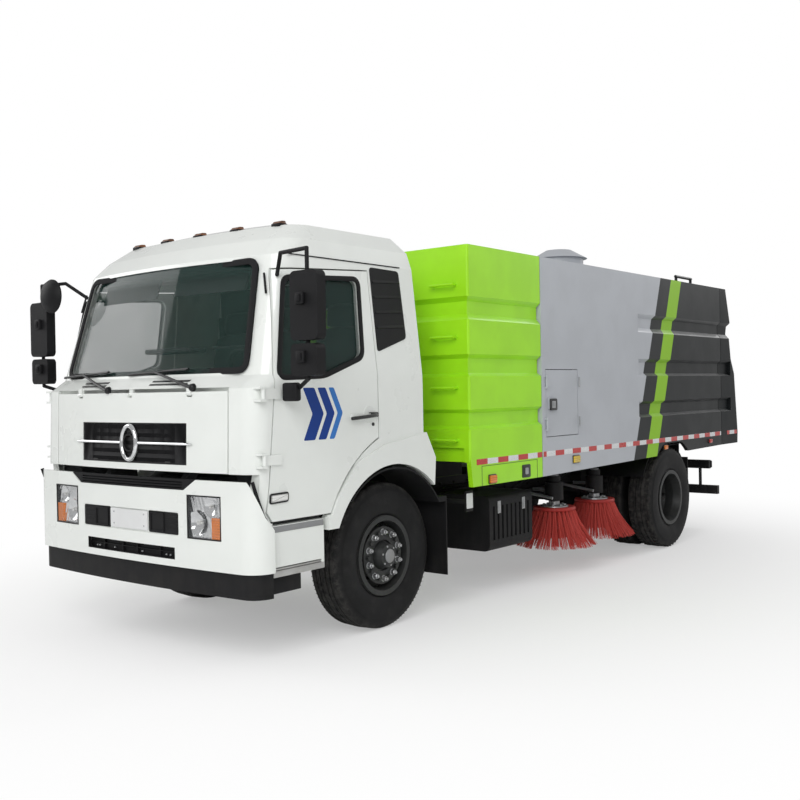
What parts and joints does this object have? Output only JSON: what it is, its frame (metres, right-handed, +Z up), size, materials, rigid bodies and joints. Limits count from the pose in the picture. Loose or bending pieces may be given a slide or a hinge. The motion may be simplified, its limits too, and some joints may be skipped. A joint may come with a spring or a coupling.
{
  "type": "street sweeper truck",
  "caption": "Cab-over street sweeper truck with a tipping hopper, lifting tailgate, disc brushes on swing arms, tilting cab, opening doors and steered front wheels",
  "frame": {"origin": "on the ground under the middle of the overall box", "axes": "+Z up, -Y to the front of the truck, +X to the vehicle's left"},
  "size_m": [3.12, 7.83, 3.1],
  "materials": {
    "chassis_paint": "satin",
    "castings": "rough",
    "black_plastic": "matte",
    "tank_metal": "brushed",
    "white_paint": "gloss",
    "lamp_glass": "gloss",
    "lime_paint": "gloss",
    "grey_paint": "gloss",
    "black_paint": "gloss",
    "steel": "satin",
    "wheel_paint": "satin",
    "tyre": "matte",
    "glass": "clear",
    "seat_fabric": "woven",
    "red_bristle": "bristle"
  },
  "bodies": {
    "chassis": {"frame_rails": "chassis_paint", "front_axle": "chassis_paint", "rear_axle": "chassis_paint", "engine_block": "castings", "battery_box": "black_plastic", "fuel_tank": "tank_metal", "bumper": "white_paint", "headlamp_left": "lamp_glass", "headlamp_right": "lamp_glass", "lower_grille": "black_plastic", "mudguard_left": "black_plastic", "mudguard_right": "black_plastic", "rear_guard_left": "black_plastic", "rear_guard_right": "black_plastic", "body_front": "lime_paint", "suction_nozzle": "steel", "rear_bumper": "chassis_paint"},
    "cab": {"cab_roof": "white_paint", "cab_back": "white_paint", "cab_front": "white_paint", "cab_side_left": "white_paint", "cab_side_right": "white_paint", "cab_floor": "white_paint", "steps_left": "white_paint", "steps_right": "white_paint", "windscreen": "glass", "back_window": "glass", "dashboard": "black_plastic", "driver_seat": "seat_fabric", "passenger_seat": "seat_fabric"},
    "service_panel": {"front_panel": "white_paint", "upper_grille": "black_plastic"},
    "door_left_body": {"door_left": "white_paint", "door_glass_left": "glass", "mirrors_left": "black_plastic"},
    "door_right_body": {"door_right": "white_paint", "door_glass_right": "glass", "mirrors_right": "black_plastic"},
    "hopper_body": {"hopper": "grey_paint"},
    "hatch_body": {"access_door": "grey_paint"},
    "tailgate_body": {"tailgate": "black_paint"},
    "lift_barrel_body": {"lift_barrels": "steel"},
    "lift_rod_body": {"lift_rods": "steel"},
    "knuckle_left_body": {"knuckle_left": "chassis_paint"},
    "knuckle_right_body": {"knuckle_right": "chassis_paint"},
    "track_rod_body": {"track_rod": "chassis_paint"},
    "wheel_front_left": {"front_rim_left": "wheel_paint", "front_tyre_left": "tyre"},
    "wheel_front_right": {"front_rim_right": "wheel_paint", "front_tyre_right": "tyre"},
    "wheels_rear_left": {"rear_rims_left": "wheel_paint", "rear_tyres_left": "tyre"},
    "wheels_rear_right": {"rear_rims_right": "wheel_paint", "rear_tyres_right": "tyre"},
    "arm_left_body": {"brush_arm_left": "chassis_paint"},
    "arm_right_body": {"brush_arm_right": "chassis_paint"},
    "brush_left_front": {"brush_left_1": "red_bristle"},
    "brush_left_back": {"brush_left_2": "red_bristle"},
    "brush_right_front": {"brush_right_1": "red_bristle"},
    "brush_right_back": {"brush_right_2": "red_bristle"}
  },
  "joints": [
    {"name": "cab_tilt", "type": "hinge", "parent": "chassis", "child": "cab", "pos_m": [0, -3.825, 1.06], "axis": [1, 0, 0], "range_deg": [0, 45]},
    {"name": "service_panel_lift", "type": "hinge", "parent": "cab", "child": "service_panel", "pos_m": [0, -3.857, 1.712], "axis": [-1, 0, 0], "range_deg": [0, 70]},
    {"name": "door_left_swing", "type": "hinge", "parent": "cab", "child": "door_left_body", "pos_m": [1.162, -3.747, 1.6], "axis": [0, 0, -1], "range_deg": [0, 70]},
    {"name": "door_right_swing", "type": "hinge", "parent": "cab", "child": "door_right_body", "pos_m": [-1.162, -3.747, 1.6], "axis": [0, 0, 1], "range_deg": [0, 70]},
    {"name": "hopper_tip", "type": "hinge", "parent": "chassis", "child": "hopper_body", "pos_m": [0, 3.565, 0.962], "axis": [-1, 0, 0], "range_deg": [0, 42]},
    {"name": "hatch_swing", "type": "hinge", "parent": "hopper_body", "child": "hatch_body", "pos_m": [1.262, -0.545, 1.5725], "axis": [0, 0, -1], "range_deg": [0, 100]},
    {"name": "tailgate_lift", "type": "hinge", "parent": "hopper_body", "child": "tailgate_body", "pos_m": [0, 3.415, 2.848], "axis": [1, 0, 0], "range_deg": [0, 80]},
    {"name": "lift_barrel_turn", "type": "hinge", "parent": "chassis", "child": "lift_barrel_body", "pos_m": [0, 0.515, 0.8], "axis": [1, 0, 0], "range_deg": [0, 24.11]},
    {"name": "lift_rod_slide", "type": "slide", "parent": "lift_barrel_body", "child": "lift_rod_body", "axis": [0, 0.9892, 0.1468], "range_m": [0, 0.767]},
    {"name": "steer_left", "type": "hinge", "parent": "chassis", "child": "knuckle_left_body", "pos_m": [0.735, -2.485, 0.525], "axis": [0, 0, 1], "range_deg": [-30, 30]},
    {"name": "steer_right", "type": "hinge", "parent": "chassis", "child": "knuckle_right_body", "pos_m": [-0.735, -2.485, 0.525], "axis": [0, 0, 1], "range_deg": [-30, 30]},
    {"name": "track_rod_turn", "type": "hinge", "parent": "knuckle_left_body", "child": "track_rod_body", "pos_m": [0.735, -2.295, 0.418], "axis": [0, 0, 1], "range_deg": [-30, 30]},
    {"name": "spin_front_left", "type": "hinge", "parent": "knuckle_left_body", "child": "wheel_front_left", "pos_m": [0.923, -2.485, 0.525], "axis": [1, 0, 0], "continuous": true},
    {"name": "spin_front_right", "type": "hinge", "parent": "knuckle_right_body", "child": "wheel_front_right", "pos_m": [-0.923, -2.485, 0.525], "axis": [1, 0, 0], "continuous": true},
    {"name": "spin_rear_left", "type": "hinge", "parent": "chassis", "child": "wheels_rear_left", "pos_m": [0.944, 2.015, 0.525], "axis": [1, 0, 0], "continuous": true},
    {"name": "spin_rear_right", "type": "hinge", "parent": "chassis", "child": "wheels_rear_right", "pos_m": [-0.944, 2.015, 0.525], "axis": [1, 0, 0], "continuous": true},
    {"name": "arm_left_swing", "type": "hinge", "parent": "chassis", "child": "arm_left_body", "pos_m": [0.5, -0.335, 0.7], "axis": [0, 0, -1], "range_deg": [0, 12]},
    {"name": "arm_right_swing", "type": "hinge", "parent": "chassis", "child": "arm_right_body", "pos_m": [-0.5, -0.335, 0.7], "axis": [0, 0, 1], "range_deg": [0, 12]},
    {"name": "brush_left_front_spin", "type": "hinge", "parent": "arm_left_body", "child": "brush_left_front", "pos_m": [0.93, 0.115, 0.625], "axis": [0, 0, 1], "continuous": true},
    {"name": "brush_left_back_spin", "type": "hinge", "parent": "arm_left_body", "child": "brush_left_back", "pos_m": [0.93, 0.895, 0.625], "axis": [0, 0, 1], "continuous": true},
    {"name": "brush_right_front_spin", "type": "hinge", "parent": "arm_right_body", "child": "brush_right_front", "pos_m": [-0.93, 0.115, 0.625], "axis": [0, 0, 1], "continuous": true},
    {"name": "brush_right_back_spin", "type": "hinge", "parent": "arm_right_body", "child": "brush_right_back", "pos_m": [-0.93, 0.895, 0.625], "axis": [0, 0, 1], "continuous": true}
  ],
  "couplings": [
    {"joint": "steer_right", "follows": "steer_left", "ratio": 1},
    {"joint": "track_rod_turn", "follows": "steer_left", "ratio": -1},
    {"joint": "lift_barrel_turn", "follows": "hopper_tip", "ratio": 0.5502},
    {"joint": "lift_rod_slide", "follows": "hopper_tip", "m_per_rad": 1.0332}
  ]
}
